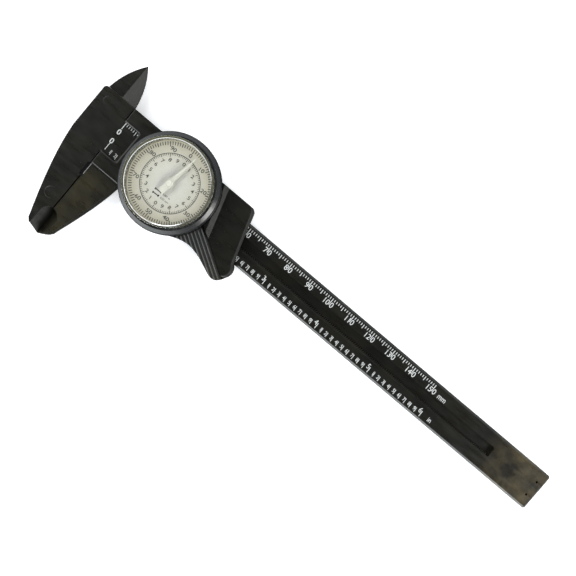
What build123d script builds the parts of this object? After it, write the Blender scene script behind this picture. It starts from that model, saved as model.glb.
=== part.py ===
from build123d import *
import math
import os

# Dial caliper of moulded plastic, 150 mm / 6 in, drawn lying on its back.
# X runs along the beam, Y towards the small inside jaws, Z up out of the dial.
# X = 0 is the measuring face of the fixed jaw, Y = 0 the middle of the beam, Z = 0 the rest plane.

# ---------------------------------------------------------------- driving dimensions (mm)
OPENING = 0.0762            # the jaws stand three thousandths of an inch open
TRAVEL = 150.0              # full measuring range
RUNNING_GAP = 0.08          # clearance of every sliding fit

BEAM_HALF_WIDTH = 7.8
BEAM_END = 206.1
BEAM_BACK = 1.2
BEAM_FRONT = 5.2            # the jaws are as thick as this, from the rest plane up
BEAM_EDGE_CHAMFER = 0.8
BEAM_CORNER = 0.9

GROOVE_START = 12.0
GROOVE_END = 183.0
GROOVE_TOP = 2.65           # +Y wall of the groove that the pinion runs in
GROOVE_BOTTOM = -2.1        # -Y wall, where the rack strip lies
GROOVE_FLOOR = 3.4

HEAD_TOP = 12.7             # +Y edge of the fixed jaw plate and of the slider
HEAD_LEFT = -13.95
HEAD_CORNER = 1.4
HEAD_PAD_TOP = 7.6          # the plate is full thickness below this, and thinner where the arm passes
SLIDER_BOTTOM = -12.7
JAW_TIP = -46.5
JAW_BEND = -6.0
JAW_SIDE = ((12.55, -15.8), (10.55, -24.5), (8.1, -33.1), (5.33, -41.6))
JAW_CORNERS = ((5.33, -41.6), (5.0, -42.9), (3.7, -44.4))
JAW_LINE_HALF_WIDTH = 0.3   # the front edges of both measuring faces are eased steeply
JAW_LINE_DEPTH = 0.9
SCALLOP_SPRING, SCALLOP_TOP = -38.4, -34.8      # where the arch of the tip hollows starts and ends
SCALLOP_SHALLOW, SCALLOP_DEEP = 0.8, 4.75       # depth of the hollow's floor at its side and at the face
FIXED_SCALLOP_WIDTH, MOVING_SCALLOP_WIDTH = 3.5, 4.3
RELIEF_LOW = -19.1          # the measuring faces start below this
RELIEF_HIGH = -13.2
RELIEF_DEPTH = 1.1
RELIEF_BEVEL = 0.95
PRONG_X = 0.4               # left end of the slider body
PRONG_BEVEL = 0.3
PRONG_RELIEF = 0.35         # the fixed plate stands back from the prongs by this

BLADE_AXIS_X = -7.0         # knife edges of the inside jaws
BLADE_HALF_BASE = 6.4
BLADE_HALF_BELLY = 4.75
BLADE_BELLY_Y = 19.3
BLADE_TIP = 27.9
PARTING = BEAM_FRONT / 2
BLADE_RISE = 1.35           # height of the fixed blade's sloping front at its outer side
BLADE_GAP = 0.05            # each inside blade stays this far from the parting plane

DIAL_X = 28.35
HOUSING_RADIUS = 18.4
CAVITY_RADIUS = 16.4
RAIL_END, DECK_END = 52.0, 40.0
DECK_LOW = BEAM_FRONT + RUNNING_GAP
DECK_TOP = 6.4
WINDOW_TOP = 6.7
WINDOW_BOTTOM = -7.1
WINDOW_END = 6.5
WINDOW_RAMP = 1.4
WINDOW_EASE = 0.35

SHOULDER_TOP = 8.1          # the bezel stands on this
SPIGOT_RADIUS = 17.3
SPIGOT_TOP = 9.5
SNAP_GROOVE_LOW, SNAP_GROOVE_TOP = 8.6, 9.1     # room for the bezel's snap ring, cut in both parts
SNAP_GROOVE_DEPTH = 0.3
BEZEL_RADIUS = 18.8
BEZEL_FLANGE = 9.6
FLANGE_BORE = 15.4          # the dial face lies on the flange around this bore
DIAL_BACK = 10.1
DIAL_FRONT = 10.5
CRYSTAL_RADIUS = 16.3
CRYSTAL_WALL = 0.7
CRYSTAL_UNDERSIDE = 16.0
CRYSTAL_TOP = 17.0
CRYSTAL_EASE = 0.15
BEZEL_TOP = 13.2            # level rim beside the crystal, then a bevel, then a rounded outer edge
BEZEL_BEVEL_LOW = 12.3
BEZEL_WALL_TOP = 11.6
BEZEL_RIM_WIDTH = 0.85
BEZEL_EDGE = 0.35

COVER_THICK = BEAM_BACK - RUNNING_GAP
LAND_TOP = 8.3              # the tail cover is this high beside the dial, and steps down to its plate
PLATE_TOP = 7.45
GRIP_TOP = 7.1
RIB_HEIGHT = 0.32
RIB_PITCH = 1.35
RIB_WIDTH = 1.15
RIB_CREST = 0.1             # width of the flat along the top of each rib
RIB_COUNT = 9
SEAM_GAP = 0.3

MAIN_PLATE_TOP = 6.7
TRANSFER_LOW, TRANSFER_TOP = 6.8, 7.3
INCH_WHEEL_LOW, INCH_WHEEL_TOP = 7.45, 7.8
MM_WHEEL_LOW, MM_WHEEL_TOP = 7.95, 8.3
BRIDGE_LOW, BRIDGE_TOP = 8.5, 9.1
PLATE_RADIUS = 15.9
PILLAR_CIRCLE = 14.3
PILLAR_ANGLES = (90, 210, 330)

# Gearing: one turn of the rack pinion is four turns of the inch hand and 5.08 of the metric one.
RACK_TRAVEL_PER_TURN = 10.16
RACK_PINION_TEETH = 12
RACK_PITCH = RACK_TRAVEL_PER_TURN / RACK_PINION_TEETH
RACK_MODULE = RACK_PITCH / math.pi
RACK_PITCH_LINE = -1.25
TRANSFER_TEETH, TRANSFER_MODULE = 24, 0.2
HAND_PINION_TEETH = 25
INCH_WHEEL_TEETH, INCH_MODULE = 100, 0.12
MM_WHEEL_TEETH = 127
HAND_CENTRES = (INCH_WHEEL_TEETH + HAND_PINION_TEETH) * INCH_MODULE / 2
MM_MODULE = 2 * HAND_CENTRES / (MM_WHEEL_TEETH + HAND_PINION_TEETH)
INTERMEDIATE_BEARING = 150.0

PINION_Y = RACK_PITCH_LINE + RACK_PINION_TEETH * RACK_MODULE / 2
INTERMEDIATE_X = DIAL_X + HAND_CENTRES * math.cos(math.radians(INTERMEDIATE_BEARING))
INTERMEDIATE_Y = HAND_CENTRES * math.sin(math.radians(INTERMEDIATE_BEARING))
TRANSFER_CENTRES = TRANSFER_TEETH * TRANSFER_MODULE
TRANSFER_RISE = INTERMEDIATE_Y - PINION_Y
PINION_X = INTERMEDIATE_X - math.sqrt(TRANSFER_CENTRES**2 - TRANSFER_RISE**2)
TRANSFER_BEARING = math.degrees(math.asin(TRANSFER_RISE / TRANSFER_CENTRES))

# Dial markings are turned a little anticlockwise, and the hands read the opening from that zero.
DIAL_ZERO = 90.0 + 2.9
INCH_HAND_BEARING = DIAL_ZERO - 360 * OPENING / 2.54
MM_HAND_BEARING = DIAL_ZERO - 360 * OPENING / 2.0
INCH_HAND_LENGTH = 12.9
MM_HAND_LENGTH = 9.7
INCH_HAND_LOW = 11.8
MM_HAND_LOW = 11.0
HAND_THICK = 0.2

ADDENDUM, DEDENDUM = 0.8, 1.15          # in modules
ROOT_SHARE, TIP_SHARE = 0.29, 0.10      # half widths of a tooth, in pitches

DIAGONAL = math.sqrt(0.5)

os.makedirs("parts", exist_ok=True)


# ---------------------------------------------------------------- shapes used more than once
def gear_outline(teeth, module, phase):
    """Corner points of a gear with straight flanks, one tooth pointing at phase degrees."""
    root = module * (teeth / 2 - DEDENDUM)
    tip = module * (teeth / 2 + ADDENDUM)
    corners = ((root, -ROOT_SHARE), (tip, -TIP_SHARE), (tip, TIP_SHARE), (root, ROOT_SHARE))
    points = []
    for tooth in range(teeth):
        for radius, share in corners:
            angle = math.radians(phase + (tooth + share) * 360 / teeth)
            points.append((radius * math.cos(angle), radius * math.sin(angle)))
    return points


def gear(teeth, module, phase, centre, low, top, bore):
    """A spur gear on a vertical axis with a plain bore."""
    with BuildPart() as wheel:
        with BuildSketch(Plane(origin=(*centre, low))):
            with BuildLine():
                Polyline(*gear_outline(teeth, module, phase), close=True)
            make_face()
            if bore:
                Circle(bore, mode=Mode.SUBTRACT)
        extrude(amount=top - low)
    return wheel.part


def block(x, y, z):
    """A square-edged block between two corners given as (low, high) pairs."""
    with BuildPart() as solid:
        with BuildSketch(Plane(origin=((x[0] + x[1]) / 2, (y[0] + y[1]) / 2, z[0]))):
            Rectangle(x[1] - x[0], y[1] - y[0])
        extrude(amount=z[1] - z[0])
    return solid.part


def posts(places, radius, low, top):
    """Equal round posts standing at several places."""
    with BuildPart() as solid:
        with BuildSketch(Plane.XY.offset(low)):
            with Locations(*places):
                Circle(radius)
        extrude(amount=top - low)
    return solid.part


def tip_scallop(side, half_width):
    """Arched hollow at a jaw tip whose floor falls to the knife edge at the measuring face."""
    clear = 1.0
    with BuildPart() as hollow:
        with BuildSketch(Plane.XZ.offset(-SCALLOP_TOP)):
            with BuildLine():
                Polyline(
                    (side * half_width, BEAM_FRONT - SCALLOP_SHALLOW),
                    (0, BEAM_FRONT - SCALLOP_DEEP),
                    (-side * clear, BEAM_FRONT - SCALLOP_DEEP),
                    (-side * clear, BEAM_FRONT + clear),
                    (side * half_width, BEAM_FRONT + clear),
                    close=True,
                )
            make_face()
        extrude(amount=SCALLOP_TOP - JAW_TIP + clear)
        with BuildSketch(Plane.XY.offset(-clear)):
            with BuildLine():
                Line((-half_width, JAW_TIP - clear), (-half_width, SCALLOP_SPRING))
                ThreePointArc((-half_width, SCALLOP_SPRING), (0, SCALLOP_TOP), (half_width, SCALLOP_SPRING))
                Line((half_width, SCALLOP_SPRING), (half_width, JAW_TIP - clear))
                Line((half_width, JAW_TIP - clear), (-half_width, JAW_TIP - clear))
            make_face()
        extrude(amount=BEAM_FRONT + 2 * clear, mode=Mode.INTERSECT)
    return hollow.part


def blade_outline(side):
    """Half of the spear shape of the closed inside jaws, to one side of their centre line."""
    base = HEAD_TOP - 0.1 if side > 0 else HEAD_TOP + 0.15
    foot = (BLADE_AXIS_X + side * BLADE_HALF_BASE, base)
    belly = (BLADE_AXIS_X + side * BLADE_HALF_BELLY, BLADE_BELLY_Y)
    with BuildSketch() as half:
        with BuildLine():
            Line((BLADE_AXIS_X, base), foot)
            ThreePointArc(foot, belly, (BLADE_AXIS_X, BLADE_TIP))
            Line((BLADE_AXIS_X, BLADE_TIP), (BLADE_AXIS_X, base))
        make_face()
    return half.sketch


# Tail of the slider: its slanted right edge, the thumb lobe and the hollow back to the dial.
TAIL_CORNER = (56.9, HEAD_TOP)
TAIL_SHOULDER = (57.9, 11.8)
TAIL_SLANT_END = (64.45, -7.9)
LOBE_BULGE = (65.95, -10.9)
LOBE_SIDE = (65.2, -13.6)
TAIL_EDGE_BEVEL = 0.9
TAIL_STRIP_WIDTH = 1.9      # sloping strip from the land down to the plate
LOBE_POINTS = (LOBE_SIDE, (61.0, -16.95), (57.4, -15.7), (53.4, -14.1), (47.4, -12.93), (41.5, -14.2))
LOBE_END = (36.5, -16.9)
SEAM_START = (48.95, -4.95)
SEAM_END = (63.6, -14.0)
PAD_FOOT = (43.5, HEAD_TOP)


def tail_outline():
    """Plan of the whole tail, closed inside the dial housing."""
    with BuildSketch() as plan:
        with BuildLine():
            Polyline(LOBE_END, (30, -8), (30, HEAD_TOP), TAIL_CORNER, TAIL_SHOULDER, TAIL_SLANT_END)
            ThreePointArc(TAIL_SLANT_END, LOBE_BULGE, LOBE_SIDE)
            Spline(*LOBE_POINTS, LOBE_END)
        make_face()
    return plan.sketch


def below_seam(gap):
    """Large face on the thumb grip's side of the seam, gap away from it."""
    run, fall = SEAM_END[0] - SEAM_START[0], SEAM_END[1] - SEAM_START[1]
    slope = fall / run
    drop = gap / math.cos(math.atan(slope))
    left, right, far = 25.0, 75.0, -40.0
    with BuildSketch() as side:
        with BuildLine():
            Polyline(
                (left, SEAM_START[1] + slope * (left - SEAM_START[0]) - drop),
                (right, SEAM_START[1] + slope * (right - SEAM_START[0]) - drop),
                (right, far),
                (left, far),
                close=True,
            )
        make_face()
    return side.sketch


tail_plan = tail_outline()
grip_side = below_seam(SEAM_GAP)

# ---------------------------------------------------------------- beam with the fixed jaw
PIN_PLACES = ((203.1, 3.0), (203.1, -3.0))
PIN_RADIUS = 0.45
PIN_TOP = 3.6               # the pins stop well below the beam's front
ROD_HALF_WIDTH = 1.6
ROD_LOW, ROD_TOP = 2.05, 2.7
END_PLATE_TOP = 1.95
END_PLATE_START, END_PLATE_END, END_PLATE_HALF_WIDTH = 199.7, 205.9, 5.4
end_plate_pocket = block(
    (END_PLATE_START - 0.1, BEAM_END + 1),
    (-END_PLATE_HALF_WIDTH - 0.1, END_PLATE_HALF_WIDTH + 0.1),
    (BEAM_BACK - 1, END_PLATE_TOP),
)
rod_channel = block((14.0, BEAM_END + 1), (-1.9, 1.9), (BEAM_BACK - 1, 2.8))
pin_holes = posts(PIN_PLACES, PIN_RADIUS, 0, BEAM_FRONT + 1)
fixed_scallop = tip_scallop(-1, FIXED_SCALLOP_WIDTH)
fixed_blade = blade_outline(1)

# V-shaped line down the front between the closed jaws, half of it eased off each jaw
with BuildPart() as jaw_line_cut:
    with BuildSketch(Plane.XZ.offset(-RELIEF_LOW)):
        with BuildLine():
            Polyline(
                (-JAW_LINE_HALF_WIDTH, BEAM_FRONT),
                (OPENING / 2, BEAM_FRONT - JAW_LINE_DEPTH),
                (OPENING + JAW_LINE_HALF_WIDTH, BEAM_FRONT),
                (OPENING + JAW_LINE_HALF_WIDTH, BEAM_FRONT + 1),
                (-JAW_LINE_HALF_WIDTH, BEAM_FRONT + 1),
                close=True,
            )
        make_face()
    extrude(amount=RELIEF_LOW - JAW_TIP + 1)
jaw_line = jaw_line_cut.part

# round marks left by the mould's ejectors: a ring whose inner wall slopes
EJECTOR_MARKS = (((-4.5, -30.9), 2.1), ((-9.9, 8.5), 1.3))
MARK_WIDTH, MARK_DEPTH = 0.26, 0.12
mark_rings = []
for (mark_x, mark_y), mark_radius in EJECTOR_MARKS:
    with BuildPart() as mark_ring:
        with BuildSketch(Plane.XZ.offset(-mark_y)):
            with BuildLine():
                Polyline(
                    (mark_x + mark_radius, BEAM_FRONT),
                    (mark_x + mark_radius + MARK_WIDTH, BEAM_FRONT - MARK_DEPTH),
                    (mark_x + mark_radius + MARK_WIDTH, BEAM_FRONT),
                    close=True,
                )
            make_face()
        revolve(axis=Axis((mark_x, mark_y, 0), (0, 0, 1)))
    mark_rings.append(mark_ring.part)

with BuildSketch() as head_plan:
    with BuildLine():
        Line((0, HEAD_TOP), (HEAD_LEFT + HEAD_CORNER, HEAD_TOP))
        RadiusArc((HEAD_LEFT + HEAD_CORNER, HEAD_TOP), (HEAD_LEFT, HEAD_TOP - HEAD_CORNER), -HEAD_CORNER)
        Line((HEAD_LEFT, HEAD_TOP - HEAD_CORNER), (HEAD_LEFT, JAW_BEND))
        Spline((HEAD_LEFT, JAW_BEND), *[(-x, y) for x, y in JAW_SIDE])
        Polyline(*[(-x, y) for x, y in JAW_CORNERS], (0, JAW_TIP), (0, RELIEF_LOW))
        ThreePointArc(
            (0, RELIEF_LOW),
            (-RELIEF_DEPTH * DIAGONAL, RELIEF_LOW + RELIEF_DEPTH * (1 - DIAGONAL)),
            (-RELIEF_DEPTH, RELIEF_LOW + RELIEF_DEPTH),
        )
        Polyline(
            (-RELIEF_DEPTH, RELIEF_LOW + RELIEF_DEPTH),
            (-RELIEF_DEPTH, RELIEF_HIGH),
            (-PRONG_RELIEF, RELIEF_HIGH),
            (-PRONG_RELIEF, HEAD_TOP - 1),
            (0, HEAD_TOP - 1),
            (0, HEAD_TOP),
        )
    make_face()

with BuildPart() as beam:
    # the bar, with its two long front edges and the corners of its end eased
    with BuildSketch(Plane.XY.offset(BEAM_BACK)):
        with Locations(((BEAM_END - 4) / 2, 0)):
            Rectangle(BEAM_END + 4, 2 * BEAM_HALF_WIDTH)
    extrude(amount=BEAM_FRONT - BEAM_BACK)
    fillet(beam.edges().filter_by(Axis.Z).group_by(Axis.X)[-1], BEAM_CORNER)
    front_edges = beam.faces().sort_by(Axis.Z)[-1].edges().filter_by(Axis.X)
    chamfer(front_edges, BEAM_EDGE_CHAMFER)
    # the fixed jaw plate, in one moulding with the bar
    with BuildSketch(Plane.XY.offset(BEAM_BACK)):
        add(head_plan.sketch)
    extrude(amount=BEAM_FRONT - BEAM_BACK)
    with BuildSketch():
        add(head_plan.sketch)
        with Locations((0, HEAD_PAD_TOP + 25)):
            Rectangle(60, 50, mode=Mode.SUBTRACT)
    extrude(amount=BEAM_BACK)
    # the fixed inside blade, in front of the parting plane
    with BuildSketch(Plane.XY.offset(PARTING + BLADE_GAP)):
        add(fixed_blade)
    extrude(amount=BLADE_RISE - BLADE_GAP)
    with BuildSketch(Plane.XZ.offset(-HEAD_TOP)):
        with BuildLine():
            Polyline(
                (BLADE_AXIS_X - 1, PARTING + 0.25),
                (BLADE_AXIS_X, PARTING + 0.3),
                (0.5, PARTING + BLADE_RISE),
                (0.5, BEAM_FRONT + 1),
                (BLADE_AXIS_X - 1, BEAM_FRONT + 1),
                close=True,
            )
        make_face()
    extrude(amount=-(BLADE_TIP - HEAD_TOP + 1), mode=Mode.SUBTRACT)
    add(fixed_scallop, mode=Mode.SUBTRACT)
    add(jaw_line, mode=Mode.SUBTRACT)
    # groove for the rack and the pinion, with one rounded end corner
    with BuildSketch(Plane.XY.offset(GROOVE_FLOOR)) as groove:
        with Locations(((GROOVE_START + GROOVE_END) / 2, (GROOVE_TOP + GROOVE_BOTTOM) / 2)):
            Rectangle(GROOVE_END - GROOVE_START, GROOVE_TOP - GROOVE_BOTTOM)
        fillet(groove.vertices().sort_by_distance((GROOVE_END, GROOVE_TOP, GROOVE_FLOOR))[0], 0.7)
    extrude(amount=BEAM_FRONT, mode=Mode.SUBTRACT)
    add(rod_channel, mode=Mode.SUBTRACT)
    add(end_plate_pocket, mode=Mode.SUBTRACT)
    add(pin_holes, mode=Mode.SUBTRACT)
    for ring in mark_rings:
        add(ring, mode=Mode.SUBTRACT)
beam.part.label = "beam"
export_step(beam.part, "parts/beam.step")

# ---------------------------------------------------------------- rack strip in the groove
rack_tip = RACK_PITCH_LINE + ADDENDUM * RACK_MODULE
rack_root = RACK_PITCH_LINE - DEDENDUM * RACK_MODULE
first_gap = math.ceil((GROOVE_START + 1 - PINION_X) / RACK_PITCH)
last_gap = math.floor((GROOVE_END - 1 - PINION_X) / RACK_PITCH)
rack_points = [(GROOVE_END, GROOVE_BOTTOM), (GROOVE_START, GROOVE_BOTTOM), (GROOVE_START, rack_root)]
for index in range(first_gap, last_gap):
    middle = PINION_X + (index + 0.5) * RACK_PITCH
    rack_points.append((middle - ROOT_SHARE * RACK_PITCH, rack_root))
    rack_points.append((middle - TIP_SHARE * RACK_PITCH, rack_tip))
    rack_points.append((middle + TIP_SHARE * RACK_PITCH, rack_tip))
    rack_points.append((middle + ROOT_SHARE * RACK_PITCH, rack_root))
rack_points.append((GROOVE_END, rack_root))
with BuildPart() as rack_strip:
    with BuildSketch(Plane.XY.offset(GROOVE_FLOOR)):
        with BuildLine():
            Polyline(*rack_points, close=True)
        make_face()
    extrude(amount=BEAM_FRONT - GROOVE_FLOOR)
rack_strip.part.label = "rack_strip"
export_step(rack_strip.part, "parts/rack_strip.step")

# ---------------------------------------------------------------- plate and pins at the beam's end
with BuildPart() as end_plate:
    with BuildSketch(Plane.XY.offset(BEAM_BACK)):
        with Locations(((END_PLATE_START + END_PLATE_END) / 2, 0)):
            Rectangle(END_PLATE_END - END_PLATE_START, 2 * END_PLATE_HALF_WIDTH)
        with Locations(*PIN_PLACES):
            Circle(PIN_RADIUS, mode=Mode.SUBTRACT)
    extrude(amount=END_PLATE_TOP - BEAM_BACK)
end_plate.part.label = "end_plate"
export_step(end_plate.part, "parts/end_plate.step")

with BuildPart() as end_pins:
    with BuildSketch(Plane.XY.offset(BEAM_BACK + 0.1)):
        with Locations(*PIN_PLACES):
            Circle(PIN_RADIUS)
    extrude(amount=PIN_TOP - BEAM_BACK - 0.1)
end_pins.part.label = "end_pins"
export_step(end_pins.part, "parts/end_pins.step")

# ---------------------------------------------------------------- slider frame with the moving jaw
SCREW_PLACES = ((6.0, 10.2), (6.0, -10.3), (50.0, 10.2), (50.0, -10.3))
KEY_PLACE = (31.2, 1.1)
moving_scallop = tip_scallop(1, MOVING_SCALLOP_WIDTH).moved(Location((OPENING, 0, 0)))
moving_corners = [(x + OPENING, y) for x, y in JAW_CORNERS]
moving_side = [(x + OPENING, y) for x, y in JAW_SIDE[1:]]
moving_root = (12.8, -13.6)
with BuildPart() as relief_wedge:
    with BuildSketch(Plane.XZ.offset(-RELIEF_LOW)):
        with BuildLine():
            Polyline(
                (OPENING - 1, BEAM_FRONT - RELIEF_BEVEL - 1),
                (OPENING + RELIEF_BEVEL + 1, BEAM_FRONT + 1),
                (OPENING - 1, BEAM_FRONT + 1),
                close=True,
            )
        make_face()
    extrude(amount=-(SLIDER_BOTTOM - RELIEF_LOW))
relief_bevel = relief_wedge.part
screw_pilots = posts(SCREW_PLACES, 0.78, BEAM_BACK - 1, 4.4)
gib_pocket = block((9.0, 35.0), (BEAM_HALF_WIDTH, 8.45), (2.0, 4.6))
pinion_passage = posts([(PINION_X, PINION_Y)], 2.1, DECK_LOW - 1, DECK_TOP + 1)
key_hole = posts([KEY_PLACE], 0.8, DECK_LOW - 1, DECK_TOP - 0.3)
beam_channel = block(
    (-5, 80),
    (-BEAM_HALF_WIDTH - RUNNING_GAP, BEAM_HALF_WIDTH + RUNNING_GAP),
    (0, DECK_LOW),
)

with BuildSketch() as rail_plan:
    with Locations(((PRONG_X + RAIL_END) / 2, (HEAD_TOP + SLIDER_BOTTOM) / 2)):
        Rectangle(RAIL_END - PRONG_X, HEAD_TOP - SLIDER_BOTTOM)
    add(tail_plan)
    with Locations((34, -20.2)):
        Rectangle(24, 15, mode=Mode.SUBTRACT)

with BuildSketch() as deck_plan:
    with Locations(((PRONG_X + DECK_END) / 2, (HEAD_TOP + SLIDER_BOTTOM) / 2)):
        Rectangle(DECK_END - PRONG_X, HEAD_TOP - SLIDER_BOTTOM)
    with Locations((DIAL_X, 0)):
        Circle(HOUSING_RADIUS)
    add(tail_plan)
    joins = deck_plan.vertices()
    fillet(joins.sort_by_distance((15.0, HEAD_TOP))[0], 8.0)
    fillet(joins.sort_by_distance((41.6, HEAD_TOP))[0], 2.5)

# ribs of the thumb grip, parallel to the seam, with sloping sides
seam_slope = math.atan2(SEAM_END[1] - SEAM_START[1], SEAM_END[0] - SEAM_START[0])
seam_direction = (math.cos(seam_slope), math.sin(seam_slope), 0)
rib_foot, rib_crest, rib_sink = RIB_WIDTH / 2, RIB_CREST / 2, 0.2
with BuildPart() as grip_ribs:
    for rib in range(RIB_COUNT):
        shift = SEAM_GAP + rib_foot + 0.15 + rib * RIB_PITCH
        middle_x = SEAM_START[0] + shift * math.sin(seam_slope)
        middle_y = SEAM_START[1] - shift * math.cos(seam_slope)
        rib_foot_place = (middle_x, middle_y, GRIP_TOP)
        with BuildSketch(Plane(origin=rib_foot_place, z_dir=seam_direction, x_dir=(0, 0, 1))):
            with BuildLine():
                Polyline(
                    (-rib_sink, -rib_foot),
                    (0, -rib_foot),
                    (RIB_HEIGHT, -rib_crest),
                    (RIB_HEIGHT, rib_crest),
                    (0, rib_foot),
                    (-rib_sink, rib_foot),
                    close=True,
                )
            make_face()
        extrude(amount=25, both=True)
    with BuildSketch(Plane.XY.offset(GRIP_TOP - rib_sink)):
        add(tail_plan)
        add(grip_side, mode=Mode.INTERSECT)
        with Locations((DIAL_X, 0)):
            Circle(BEZEL_RADIUS + 0.2, mode=Mode.SUBTRACT)
    extrude(amount=3, mode=Mode.INTERSECT)

with BuildPart() as slider_frame:
    with BuildSketch(Plane.XY.offset(DECK_LOW)):
        add(deck_plan.sketch)
    extrude(amount=DECK_TOP - DECK_LOW)
    rim = slider_frame.faces().sort_by(Axis.Z)[-1].outer_wire().edges().filter_by(GeomType.LINE)
    chamfer(rim.sort_by(Axis.X)[0], PRONG_BEVEL)
    rim = slider_frame.faces().sort_by(Axis.Z)[-1].outer_wire().edges().filter_by(Axis.X)
    chamfer(rim.sort_by(Axis.Y)[0], 0.35)
    with BuildSketch(Plane.XY.offset(COVER_THICK)):
        add(rail_plan.sketch)
    extrude(amount=DECK_LOW - COVER_THICK)
    # moving jaw, as thick as the fixed one
    with BuildSketch():
        with BuildLine():
            Polyline((OPENING, RELIEF_LOW), (OPENING, JAW_TIP), *reversed(moving_corners))
            Spline(*reversed(moving_side), moving_root)
            Polyline(
                moving_root,
                (moving_root[0], SLIDER_BOTTOM),
                (PRONG_X, SLIDER_BOTTOM),
                (PRONG_X, RELIEF_LOW + 0.1),
                (OPENING, RELIEF_LOW),
            )
        make_face()
    extrude(amount=BEAM_FRONT)
    add(moving_scallop, mode=Mode.SUBTRACT)
    add(jaw_line, mode=Mode.SUBTRACT)
    add(relief_bevel, mode=Mode.SUBTRACT)
    # dial housing: a wall with a spigot that the bezel turns on, grooved for its snap ring
    with BuildSketch(Plane.XZ):
        with BuildLine():
            Polyline(
                (DIAL_X + CAVITY_RADIUS, DECK_TOP - 0.5),
                (DIAL_X + HOUSING_RADIUS - 0.6, DECK_TOP - 0.5),
                (DIAL_X + HOUSING_RADIUS - 0.2, DECK_TOP),
                (DIAL_X + HOUSING_RADIUS, SHOULDER_TOP - 0.3),
                (DIAL_X + HOUSING_RADIUS - 0.3, SHOULDER_TOP),
                (DIAL_X + SPIGOT_RADIUS, SHOULDER_TOP),
                (DIAL_X + SPIGOT_RADIUS, SNAP_GROOVE_LOW),
                (DIAL_X + SPIGOT_RADIUS - SNAP_GROOVE_DEPTH, SNAP_GROOVE_LOW),
                (DIAL_X + SPIGOT_RADIUS - SNAP_GROOVE_DEPTH, SNAP_GROOVE_TOP),
                (DIAL_X + SPIGOT_RADIUS, SNAP_GROOVE_TOP),
                (DIAL_X + SPIGOT_RADIUS, SPIGOT_TOP),
                (DIAL_X + CAVITY_RADIUS, SPIGOT_TOP),
                close=True,
            )
        make_face()
    revolve(axis=Axis((DIAL_X, 0, 0), (0, 0, 1)))
    # ribbed thumb grip between the dial and the lobe
    with BuildSketch(Plane.XY.offset(DECK_TOP - 0.4)):
        add(tail_plan)
        add(grip_side, mode=Mode.INTERSECT)
        with Locations((DIAL_X, 0)):
            Circle(BEZEL_RADIUS + 0.1, mode=Mode.SUBTRACT)
    extrude(amount=GRIP_TOP - DECK_TOP + 0.4)
    add(grip_ribs.part)
    # window over the scale's zero: it ends in a ramp, and its rim is eased
    with BuildSketch(Plane.XZ.offset(-WINDOW_TOP)):
        with BuildLine():
            Polyline(
                (PRONG_X - 1, DECK_LOW - 0.01),
                (WINDOW_END, DECK_LOW - 0.01),
                (WINDOW_END + WINDOW_RAMP, DECK_TOP + 0.01),
                (PRONG_X - 1, DECK_TOP + 0.01),
                close=True,
            )
        make_face()
    extrude(amount=WINDOW_TOP - WINDOW_BOTTOM, mode=Mode.SUBTRACT)
    with BuildSketch(Plane.YZ.offset(PRONG_X - 1)):
        with BuildLine():
            Polyline(
                (WINDOW_TOP - 1, DECK_TOP - WINDOW_EASE - 1),
                (WINDOW_TOP + WINDOW_EASE + 1, DECK_TOP + 1),
                (WINDOW_BOTTOM - WINDOW_EASE - 1, DECK_TOP + 1),
                (WINDOW_BOTTOM + 1, DECK_TOP - WINDOW_EASE - 1),
                close=True,
            )
        make_face()
    extrude(amount=WINDOW_END + WINDOW_RAMP - PRONG_X + 0.4, mode=Mode.SUBTRACT)
    add(beam_channel, mode=Mode.SUBTRACT)
    add(gib_pocket, mode=Mode.SUBTRACT)
    add(pinion_passage, mode=Mode.SUBTRACT)
    add(key_hole, mode=Mode.SUBTRACT)
    add(screw_pilots, mode=Mode.SUBTRACT)
slider_frame.part.label = "slider_frame"
export_step(slider_frame.part, "parts/slider_frame.step")

# ---------------------------------------------------------------- raised cover on the tail
seam_fall = (SEAM_END[1] - SEAM_START[1]) / (SEAM_END[0] - SEAM_START[0])
seam_under_bezel = (44.0, SEAM_START[1] + seam_fall * (44.0 - SEAM_START[0]))
strip_run, strip_rise = SEAM_START[0] - PAD_FOOT[0], PAD_FOOT[1] - SEAM_START[1]
strip_length = math.hypot(strip_run, strip_rise)
across_strip = (strip_rise / strip_length, strip_run / strip_length, 0)
down_strip = (strip_run / strip_length, -strip_rise / strip_length, 0)
with BuildPart() as tail_cover:
    with BuildSketch(Plane.XY.offset(DECK_TOP)):
        with BuildLine():
            Polyline(seam_under_bezel, (40, HEAD_TOP), TAIL_CORNER, TAIL_SHOULDER, TAIL_SLANT_END)
            ThreePointArc(TAIL_SLANT_END, LOBE_BULGE, LOBE_SIDE)
            Polyline(LOBE_SIDE, SEAM_END, seam_under_bezel)
        make_face()
        with Locations((DIAL_X, 0)):
            Circle(BEZEL_RADIUS + 0.2, mode=Mode.SUBTRACT)
    extrude(amount=LAND_TOP - DECK_TOP)
    with BuildSketch(Plane(origin=(*SEAM_START, 0), x_dir=across_strip, z_dir=down_strip)):
        with BuildLine():
            Polyline(
                (0, LAND_TOP),
                (TAIL_STRIP_WIDTH, PLATE_TOP),
                (40, PLATE_TOP),
                (40, LAND_TOP + 1),
                (0, LAND_TOP + 1),
                close=True,
            )
        make_face()
    extrude(amount=40, both=True, mode=Mode.SUBTRACT)
    plate_edges = tail_cover.faces().sort_by_distance((56, 0, PLATE_TOP))[0].edges()
    shoulder_edge = plate_edges.sort_by_distance((57.4, 12.25, PLATE_TOP))[0]
    right_edge = plate_edges.sort_by_distance((61, 2, PLATE_TOP))[0]
    lobe_edge = plate_edges.sort_by_distance((*LOBE_BULGE, PLATE_TOP))[0]
    chamfer([shoulder_edge, right_edge, lobe_edge], TAIL_EDGE_BEVEL)
tail_cover.part.label = "tail_cover"
export_step(tail_cover.part, "parts/tail_cover.step")

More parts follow.
